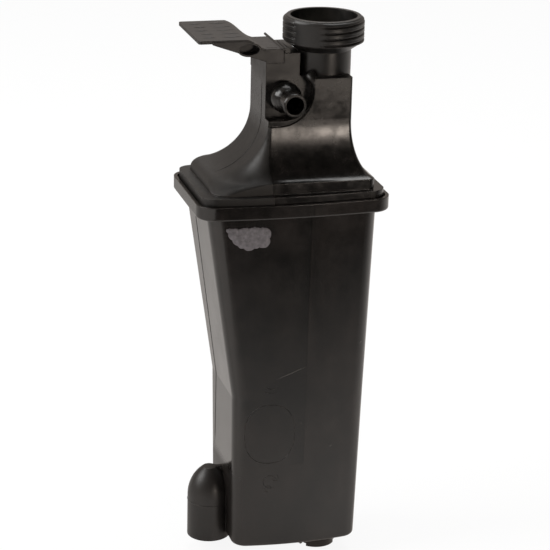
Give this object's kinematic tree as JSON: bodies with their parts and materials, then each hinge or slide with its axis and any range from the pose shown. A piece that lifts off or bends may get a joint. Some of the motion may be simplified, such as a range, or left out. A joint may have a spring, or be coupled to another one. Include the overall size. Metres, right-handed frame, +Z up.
{
  "type": "coolant expansion tank",
  "caption": "Tall tapered coolant expansion tank with a threaded filler neck, vent hose nipple, label tab, outlet socket, level indicator and float level sensor.",
  "frame": {"origin": "on the filler neck's axis, at its rim", "axes": "+Z up along the filler neck, +X to the right along the front, away from the outlet socket, +Y to the back, away from the hose nipple"},
  "size_m": [0.1262, 0.0922, 0.3645],
  "materials": {
    "shell_nylon": "moulded, fine grain, slightly dusty",
    "tab_nylon": "moulded, fine grain",
    "inner_plastic": "natural moulded",
    "float_foam": "closed-cell, matt",
    "indicator_plastic": "moulded, smooth",
    "ferrite": "sintered",
    "spring_steel": "stamped",
    "sensor_plastic": "moulded, satin",
    "reed_glass": "clear",
    "seal_rubber": "moulded, matt",
    "tinned_brass": "tinned"
  },
  "bodies": {
    "tank": {"lower_shell": "shell_nylon", "upper_shell": "shell_nylon", "hose_nipple": "shell_nylon", "label_tab": "tab_nylon", "float_cage": "inner_plastic", "cage_end_cap": "inner_plastic", "well_retainer": "spring_steel", "sensor_housing": "sensor_plastic", "reed_switch": "reed_glass", "sensor_carrier": "inner_plastic", "sensor_seal_ring": "seal_rubber", "terminal_left": "tinned_brass", "terminal_right": "tinned_brass"},
    "level_indicator": {"indicator_float": "float_foam", "indicator_stem": "indicator_plastic"},
    "sensor_float": {"ring_float": "float_foam", "float_magnet": "ferrite"}
  },
  "joints": [
    {"name": "indicator_rise", "type": "slide", "parent": "tank", "child": "level_indicator", "axis": [0, 0, 1], "range_m": [0, 0.02]},
    {"name": "sensor_float_rise", "type": "slide", "parent": "tank", "child": "sensor_float", "axis": [0, 0, 1], "range_m": [0, 0.03]}
  ]
}
